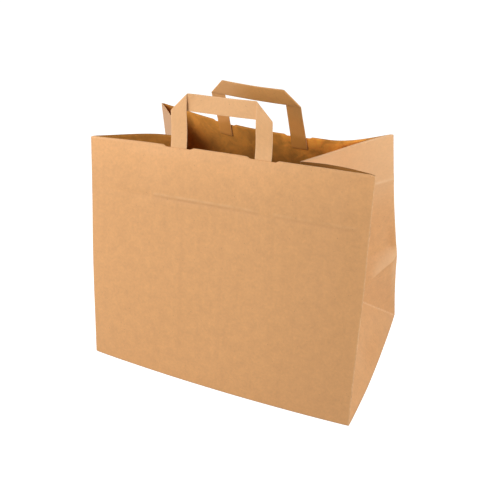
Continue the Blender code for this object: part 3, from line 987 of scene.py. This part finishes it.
class PaperMaterial:
    """One paper finish, painted layer by layer with the shared groups."""

    def __init__(self, name, colour, roughness, clouds, fibres, specks):
        self.groups = paper_groups()
        self.material = bpy.data.materials.new(name)
        self.material.use_nodes = True
        self.material.diffuse_color = rgba(colour)
        self.tree = self.material.node_tree
        self.shader = self.tree.nodes["Principled BSDF"]
        self.shader.inputs["Roughness"].default_value = roughness
        self.shader.inputs["Specular IOR Level"].default_value = 0.50
        self.paper = node(self.tree, "ShaderNodeUVMap", uv_map=PAPER_UV).outputs[0]
        split = node(self.tree, "ShaderNodeSeparateXYZ", {0: self.paper}).outputs
        self.along, self.up = split["X"], split["Y"]
        pulp = self.layer("kraft_pulp", {"Clouds": clouds, "Fibres": fibres,
                                         "Speck Share": specks})
        self.height, self.specks = pulp["Height"], pulp["Specks"]
        self.colour = rgba(colour)
        self.tint(pulp["Tone"])

    def layer(self, group, values):
        """Outputs of a shared group, placed on this paper with its own values."""
        return node(self.tree, "ShaderNodeGroup", {"Paper": self.paper, **values},
                    node_tree=self.groups[group]).outputs

    def paint(self, mask, colour):
        self.colour = blend_colour(self.tree, mask, self.colour, rgba(colour))

    def tint(self, factor):
        """Makes the colour deeper or paler by a factor that changes over the paper."""
        self.colour = blend_colour(self.tree, 1.0, self.colour, factor, "MULTIPLY")

    def speckle(self, colour, strength):
        self.paint(product(self.tree, self.specks, strength), colour)

    def press(self, distance, colour, width, strength, limit=None, depth=0.0):
        """A line of its own colour, depth metres deep or, if negative, raised: a pressed line, and
        also used for lines of painted shade.
        """
        mask = self.layer("press_line", {"Distance": distance, "Width": width,
                                         "Strength": strength})["Mask"]
        if limit is not None:
            mask = product(self.tree, mask, limit)
        self.paint(mask, colour)
        if depth != 0.0:
            change = product(self.tree, mask, -depth)
            self.height = maths(self.tree, "ADD", self.height, change)

    def wear(self, distance, colour, width, amount):
        mask = self.layer("fold_wear", {"Distance": distance, "Width": width,
                                        "Amount": amount})["Mask"]
        self.paint(mask, colour)

    def offset(self, value, mark):
        """How far a value is past a mark."""
        return maths(self.tree, "SUBTRACT", value, mark)

    def past(self, place):
        """One past a place along the paper, and zero before it."""
        return ramp(self.tree, self.along, place - FOLD_EDGE, place + FOLD_EDGE)

    def on_back(self, sizes):
        """One on the back panel."""
        start = sizes.width + sizes.gusset
        return band(self.tree, self.along, start, start + sizes.width, 2.0 * FOLD_EDGE)

    def fold_distance(self):
        made = node(self.tree, "ShaderNodeAttribute", attribute_type="GEOMETRY",
                    attribute_name=FOLD_ATTRIBUTE)
        return made.outputs["Fac"]

    def finish(self):
        bump = node(self.tree, "ShaderNodeBump",
                    {"Height": self.height, "Strength": 1.0, "Distance": 1.0})
        self.tree.links.new(bump.outputs["Normal"], self.shader.inputs["Normal"])
        self.tree.links.new(self.colour, self.shader.inputs["Base Color"])
        return self.material


def machine_streaks(paper):
    """Faint upright streaks, the way that the paper ran through its machine."""
    tree = paper.tree
    place = node(tree, "ShaderNodeMapping", {"Vector": paper.paper, "Scale": STREAK_SCALE})
    streak = clouding(tree, place.outputs[0], 1.0, 3.0)
    paper.tint(ramp(tree, streak, 0.25, 0.75, 0.988, 1.012))


def lines_across(paper, colours, sizes):
    """Lines across the panels and gussets, left by folding the bag flat, with painted highlights
    and shade along them.
    """
    tree = paper.tree
    line = paper.offset(paper.up, sizes.gusset - LINE_DROP)
    above = paper.offset(paper.up, sizes.gusset + 0.0012)
    under = paper.offset(paper.up, sizes.gusset - 0.0060)
    lower = paper.offset(paper.up, sizes.gusset / 2.0)
    off_front = paper.past(sizes.width)
    whole = maths(tree, "SUBTRACT", 1.0, band(tree, paper.along, *FRONT_LINE_GAP, 0.002))
    blend_share = ramp(tree, paper.along, *FRONT_LINE_FADE, 1.0, 0.45)
    on_front = product(tree, band(tree, paper.along, *FRONT_LINE, 0.004), blend_share, whole)
    # Line across the front: a pressed line, its darkness partly painted shade below its lip
    paper.press(line, colours.press, width=0.0018, strength=0.34, limit=on_front,
                depth=0.00070)
    # Painted highlight on the lip just above that line
    paper.press(above, colours.edge, width=0.0015, strength=0.24, limit=on_front,
                depth=-0.00020)
    # Painted highlight along the raised line on the gussets and back
    paper.press(line, colours.edge, width=0.0016, strength=0.55, limit=off_front,
                depth=-0.00045)
    # Painted shade just below that line
    paper.press(under, colours.press, width=0.0032, strength=0.10, limit=off_front)
    paper.press(lower, colours.press, width=0.0012, strength=0.30, limit=paper.on_back(sizes),
                depth=-0.00025)


def gusset_marks(paper, colours, sizes, start, top_light_share):
    """A gusset's ridge with a dark line below it, painted light above it, and painted light at its
    top.
    """
    tree = paper.tree
    half = sizes.gusset / 2.0
    from_crease = maths(tree, "ABSOLUTE", paper.offset(paper.along, start + half))
    fall = product(tree, paper.offset(half, from_crease), sizes.ridge_slope)
    ridge = paper.offset(maths(tree, "ADD", paper.up, fall), half - RIDGE_DROP)
    here = product(tree, ramp(tree, from_crease, 0.060, 0.080),
                   band(tree, paper.along, start, start + sizes.gusset, FOLD_EDGE))
    # Dark line just below the ridge: partly a pressed line, partly painted shade
    paper.press(paper.offset(ridge, -0.0014), colours.press, width=0.0013, strength=0.20,
                limit=here, depth=-0.00020)
    # Painted light: the band just above the ridge paler, as if it faced the light
    fade = ramp(tree, ridge, 0.001, 0.022, 1.0, 0.0)
    lit = ramp(tree, ridge, -0.0008, 0.0008)
    paper.paint(product(tree, fade, lit, here, 0.42), colours.edge)
    # Painted light: the top of the gusset paler
    painted_light_top = product(tree, ramp(tree, from_crease, 0.008, 0.060, top_light_share, 0.0),
                      ramp(tree, paper.up, 0.222, 0.246))
    paper.paint(painted_light_top, colours.edge)


def outside_painted_light(paper, colours, sizes):
    """Painted light and shade: paler to the top, and painted shade at two places."""
    tree = paper.tree
    off_front = paper.past(sizes.width)
    # Painted light: paler towards the top edge
    paper.tint(ramp(tree, paper.up, 0.222, 0.262, 1.0, 1.09))
    # Painted light: the gussets and back paler towards their tops
    painted_light_gusset = product(tree, ramp(tree, paper.up, 0.165, 0.228, 0.0, 0.34), off_front)
    paper.paint(painted_light_gusset, colours.edge)
    # Painted shade near the top of the left gusset
    painted_shade_left_gusset = product(tree, ramp(tree, paper.up, 0.180, 0.225, 0.0, 0.60),
                              paper.past(2.0 * sizes.width + sizes.gusset))
    paper.paint(painted_shade_left_gusset, colours.press)
    # Painted shade: the front darker towards its right side
    painted_shade_front_right = product(tree, ramp(tree, paper.along, 0.19, 0.30, 0.0, 0.13),
                          maths(tree, "SUBTRACT", 1.0, off_front))
    paper.paint(painted_shade_front_right, colours.press)


def sheet_outside(colours, sizes):
    """The glazed outside, with the lines left by folding the bag flat, and painted light and shade.
    """
    paper = PaperMaterial("kraft_outside", colours.outside, roughness=0.55, clouds=0.34,
                          fibres=0.060, specks=0.030)
    machine_streaks(paper)
    paper.speckle(colours.speck_and_shadow, 0.45)
    lines_across(paper, colours, sizes)
    # The right gusset takes far more of the painted light at its top than the left
    for start, top_light_share in ((sizes.width, 0.95), (2.0 * sizes.width + sizes.gusset, 0.15)):
        gusset_marks(paper, colours, sizes, start, top_light_share)
    upright = band(paper.tree, paper.up, 0.030, 0.230, 0.030)
    for place, width, strength in UPRIGHT_MARKS:
        paper.press(paper.offset(paper.along, place), colours.press, width=width,
                    strength=strength, limit=upright, depth=0.00005)
    outside_painted_light(paper, colours, sizes)
    paper.wear(paper.fold_distance(), colours.edge, width=0.0022, amount=0.55)
    # Partly wear, partly a painted highlight along the cut top edge
    paper.wear(paper.offset(sizes.height, paper.up), colours.edge, width=0.0018, amount=0.34)
    # Painted shadow along the bottom fold, where the bag meets the floor
    paper.press(paper.offset(paper.up, 0.0003), colours.press, width=0.0014, strength=0.55)
    # Painted shade along the front's left fold
    paper.press(paper.offset(paper.along, 0.0003), colours.press, width=0.0011, strength=0.45)
    return paper.finish()


def inside_painted_light(paper, colours, sizes, cockle):
    """Painted shade deep in the gap beside the right gusset, and painted light at the back panel's
    top.
    """
    tree = paper.tree
    back = sizes.width + sizes.gusset
    # Painted shade in the narrow gap between the gusset's front half and the front panel
    beside = band(tree, paper.along, sizes.width, back - sizes.gusset / 2.0, 0.003)
    paper.paint(product(tree, beside, ramp(tree, paper.up, 0.200, 0.235, 0.2, 0.70)),
                colours.hollow)
    # Painted light on the back panel's top inside, more to its right and on the cockles' crests
    painted_light_back = product(tree, ramp(tree, paper.up, 0.228, 0.260, 0.0, 1.05),
                     paper.on_back(sizes),
                     ramp(tree, paper.along, back + 0.06, back + 0.20, 1.0, 0.12),
                     ramp(tree, cockle, 0.1, 0.8))
    paper.tint(maths(tree, "ADD", 1.0, painted_light_back))


def sheet_inside(colours, sizes, leg_places, glued):
    """The rough, cockled inside, deeper in colour, with painted shade under and beside each leg."""
    paper = PaperMaterial("kraft_inside", colours.inside, roughness=0.85, clouds=0.34,
                          fibres=0.080, specks=0.035)
    tree = paper.tree
    paper.speckle(colours.speck_and_shadow, 0.40)
    cockle = clouding(tree, paper.paper, 42.0, 3.0, Roughness=0.55, Distortion=0.6)
    # Colour following the cockles: partly uneven tone, partly painted shade and light on their
    # bumps
    paper.tint(ramp(tree, cockle, 0.28, 0.72, 0.78, 1.18))
    paper.height = maths(tree, "ADD", paper.height, product(tree, cockle, 0.0013))
    line = paper.offset(paper.up, sizes.gusset - LINE_DROP)
    paper.press(line, colours.press, width=0.0011, strength=0.22, depth=-0.00018)
    inside_painted_light(paper, colours, sizes, cockle)
    end = sizes.height - glued
    # Painted shadow under each back leg's glued end and beside its edge
    for place in leg_places:
        across = paper.offset(paper.along, 2.0 * sizes.width + sizes.gusset - place)
        paper.press(paper.offset(paper.up, end - 0.0008), colours.hollow, width=0.0010,
                    strength=0.70, limit=band(tree, across, -LEG_SHADE, 0.0090, 0.001))
        paper.press(paper.offset(across, -LEG_SHADE), colours.hollow, width=0.0010,
                    strength=0.55, limit=ramp(tree, paper.up, end - 0.001, end + 0.001))
    # Painted shade along the inside of the top edge
    paper.press(paper.offset(sizes.height, paper.up), colours.hollow, width=0.0011,
                strength=0.55)
    paper.wear(paper.fold_distance(), colours.edge, width=0.0012, amount=0.20)
    return paper.finish()


def cut_edge(name, colours):
    """Cut or folded edges, paler than the faces."""
    return PaperMaterial(name, colours.edge, roughness=0.85, clouds=0.20, fibres=0.080,
                         specks=0.0).finish()


def strip_face(name, colour, colours, handles, shade, blend_share):
    """A handle's strip: tighter paper, with wear along both long edges.

    A painted shadow line, as dark as shade says, lies beside the legs, where the strip turns
    over on them. The last argument blends in painted light and shade by how far along the
    strip a place is: lighter towards its left end and low on its legs, and as deep as the
    inside at the glued ends.
    """
    paper = PaperMaterial(name, colour, roughness=0.60, clouds=0.24, fibres=0.050,
                          specks=0.030)
    tree = paper.tree
    paper.speckle(colours.speck_and_shadow, 0.40)
    edge = maths(tree, "MINIMUM", paper.along, paper.offset(handles.strip, paper.along))
    paper.wear(edge, colours.edge, width=0.0013, amount=0.45)
    # Painted shadow in the gap between a leg and the strip turned over behind it
    gap = paper.offset(paper.fold_distance(), -0.0001)
    paper.press(gap, colours.speck_and_shadow, width=0.0006, strength=shade)
    length = 2.0 * (handles.rise + handles.glued_left) + handles.span - 2.0 * handles.strip
    # Painted light: the strip paler towards its left end
    painted_light_left = ramp(tree, paper.up, 0.34 * length, 0.52 * length, blend_share, 0.0)
    paper.paint(painted_light_left, colours.strip)
    # Painted light low on the legs, and painted shade as deep as the inside where they are glued
    from_middle = maths(tree, "ABSOLUTE", paper.offset(paper.up, length / 2.0))
    for start, end, tone in ((0.24, 0.36, colours.low_strip), (0.40, 0.44, colours.inside)):
        paper.paint(ramp(tree, from_middle, start * length, end * length, 0.0, blend_share), tone)
    return paper.finish()


# Operators

def settings():
    scene = bpy.context.scene
    return scene.bag_sizes, scene.handle_sizes, scene.paper_colours, scene.bag_stage


class BAG_OT_sheet(bpy.types.Operator):
    """Build the folded sheet of the bag"""
    bl_idname = "paper_bag.sheet"
    bl_label = "Folded sheet"

    def execute(self, context):
        sizes, handles, colours, stage = settings()
        shape = BagShape(sizes, stage.seed)
        half = sizes.gusset / 2.0
        low_rows = stations(0.0, half, sizes.spacing, [0.0], BASE_LINES)
        high_rows = stations(half, sizes.height, sizes.spacing)
        rows = np.concatenate([low_rows, high_rows[1:]])
        sheet = SheetMesh()
        columns = add_panels(sheet, shape, handles, rows)
        w = add_gussets(sheet, shape, low_rows, high_rows)
        add_bottom(sheet, shape, columns, w)
        add_layers(sheet, shape)
        legs = shape.leg_middles("back", handles)
        materials = [sheet_outside(colours, sizes),
                     sheet_inside(colours, sizes, legs, handles.glued_right),
                     cut_edge("kraft_cut_edge", colours)]
        bag = sheet.finish("bag_sheet", materials)
        relax = bag.modifiers.new("rounded_folds", "SMOOTH")
        relax.vertex_group = SOFT_GROUP
        relax.factor = 0.5
        relax.iterations = 6
        thick = bag.modifiers.new("paper", "SOLIDIFY")
        thick.thickness = sizes.sheet
        thick.offset = -1.0
        thick.material_offset = 1
        thick.material_offset_rim = 2
        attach(bag, BODY)
        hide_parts("bag_body")
        return {"FINISHED"}


class BAG_OT_handles(bpy.types.Operator):
    """Build both strip handles"""
    bl_idname = "paper_bag.handles"
    bl_label = "Handles"

    def execute(self, context):
        sizes, handles, colours, stage = settings()
        shape = BagShape(sizes, stage.seed)
        edge = cut_edge("kraft_ply_edge", colours)
        # The front strip gets a painted shadow line beside its legs; the back strip a darker colour
        # of painted shade and a share of painted light and shade
        for face, middle, sprung, colour, shade, blend_share in (
                ("front", handles.front_x, handles.sprung, colours.strip, 0.8, 0.0),
                ("back", handles.back_x, 0.0, colours.back_strip_shaded, 0.0, 0.6)):
            strip = strip_face("kraft_strip_" + face, colour, colours, handles, shade, blend_share)
            handle = build_handle(face + "_strip", shape, face, middle, handles, sprung,
                                  [strip, edge])
            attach(handle, BODY)
            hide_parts(face + "_handle")
        return {"FINISHED"}


def seen_directly(tree):
    """One for rays from the camera, off a glossy surface or through a clear one."""
    rays = node(tree, "ShaderNodeLightPath").outputs
    bent = maths(tree, "MAXIMUM", rays["Is Glossy Ray"], rays["Is Transmission Ray"])
    return maths(tree, "MAXIMUM", rays["Is Camera Ray"], bent)


class BAG_OT_stage(bpy.types.Operator):
    """Set up the floor, the lamps, the world and the camera"""
    bl_idname = "paper_bag.stage"
    bl_label = "Stage"

    def execute(self, context):
        scene = context.scene
        stage = scene.bag_stage
        self.add_floor(stage)
        aim = Vector(stage.lamp_target)
        self.add_lamp("key_lamp", stage.key_power, stage.key_size, stage.key_place, aim,
                      (1.0, 1.0, 1.0))
        self.add_lamp("fill_lamp", stage.fill_power, stage.fill_size, stage.fill_place, aim,
                      stage.fill_tint)
        self.set_world(scene, stage)
        self.add_camera(scene, stage)
        scene.view_settings.view_transform = "Standard"
        return {"FINISHED"}

    def add_floor(self, stage):
        half = stage.floor_size / 2.0
        bm = bmesh.new()
        bmesh.ops.create_grid(bm, x_segments=4, y_segments=4, size=half)
        mesh = bpy.data.meshes.new("floor")
        bm.to_mesh(mesh)
        bm.free()
        floor = bpy.data.objects.new("floor", mesh)
        bpy.context.scene.collection.objects.link(floor)
        material = bpy.data.materials.new("pale_floor")
        material.use_nodes = True
        tree = material.node_tree
        shader = tree.nodes["Principled BSDF"]
        shader.inputs["Base Color"].default_value = rgba(stage.floor)
        shader.inputs["Roughness"].default_value = 0.9
        shader.inputs["Specular IOR Level"].default_value = 0.0
        lift = node(tree, "ShaderNodeEmission",
                    {"Strength": product(tree, seen_directly(tree), stage.floor_lift)})
        both = node(tree, "ShaderNodeAddShader", {0: shader.outputs[0], 1: lift.outputs[0]})
        tree.links.new(both.outputs[0], tree.nodes["Material Output"].inputs["Surface"])
        mesh.materials.append(material)

    def add_lamp(self, name, power, size, place, aim, tint):
        light = bpy.data.lights.new(name, "AREA")
        light.shape = "DISK"
        light.size = size
        light.energy = power
        light.color = tint
        lamp = bpy.data.objects.new(name, light)
        lamp.location = place
        lamp.rotation_euler = (aim - Vector(place)).to_track_quat("-Z", "Y").to_euler()
        bpy.context.scene.collection.objects.link(lamp)

    def set_world(self, scene, stage):
        world = bpy.data.worlds.new("studio")
        world.use_nodes = True
        tree = world.node_tree
        tree.nodes.clear()
        lift = product(tree, seen_directly(tree), 1.0 - stage.ambient)
        strength = maths(tree, "ADD", lift, stage.ambient)
        sky = node(tree, "ShaderNodeBackground", {"Color": (1.0, 1.0, 1.0, 1.0),
                                                  "Strength": strength})
        end = node(tree, "ShaderNodeOutputWorld")
        tree.links.new(sky.outputs[0], end.inputs["Surface"])
        scene.world = world

    def add_camera(self, scene, stage):
        azimuth, elevation, roll = stage.azimuth, stage.elevation, stage.roll
        back = Vector((math.sin(azimuth) * math.cos(elevation),
                       -math.cos(azimuth) * math.cos(elevation), math.sin(elevation)))
        right = Vector((0.0, 0.0, 1.0)).cross(back).normalized()
        up = back.cross(right)
        turned_right = right * math.cos(roll) + up * math.sin(roll)
        turned_up = up * math.cos(roll) - right * math.sin(roll)
        place = Vector(stage.target) + back * stage.distance
        matrix = Matrix((turned_right, turned_up, back)).transposed().to_4x4()
        data = bpy.data.cameras.new("camera")
        data.lens = stage.lens
        data.sensor_width = 36.0
        camera = bpy.data.objects.new("camera", data)
        camera.matrix_world = Matrix.Translation(place) @ matrix
        scene.collection.objects.link(camera)
        scene.camera = camera


class BAG_PT_panel(bpy.types.Panel):
    """Sizes, colours and build buttons of the paper bag"""
    bl_idname = "BAG_PT_panel"
    bl_label = "Paper carrier bag"
    bl_space_type = "VIEW_3D"
    bl_region_type = "UI"
    bl_category = "Paper bag"

    def draw(self, context):
        for operator in OPERATORS:
            self.layout.operator(operator.bl_idname)
        for group in settings():
            box = self.layout.box()
            for name in group.__annotations__:
                box.prop(group, name)


OPERATORS = (BAG_OT_sheet, BAG_OT_handles, BAG_OT_stage)
PROPERTY_GROUPS = {"bag_sizes": BagSizes, "handle_sizes": HandleSizes,
                   "paper_colours": PaperColours, "bag_stage": StageSettings}


def register():
    for group in PROPERTY_GROUPS.values():
        bpy.utils.register_class(group)
    for item in (*OPERATORS, BAG_PT_panel):
        bpy.utils.register_class(item)
    for name, group in PROPERTY_GROUPS.items():
        setattr(bpy.types.Scene, name, PointerProperty(type=group))


def unregister():
    for name in PROPERTY_GROUPS:
        delattr(bpy.types.Scene, name)
    for item in (BAG_PT_panel, *reversed(OPERATORS)):
        bpy.utils.unregister_class(item)
    for group in reversed(PROPERTY_GROUPS.values()):
        bpy.utils.unregister_class(group)


def main():
    register()
    bpy.ops.paper_bag.sheet()
    bpy.ops.paper_bag.handles()
    bpy.ops.paper_bag.stage()


if __name__ == "__main__":
    main()
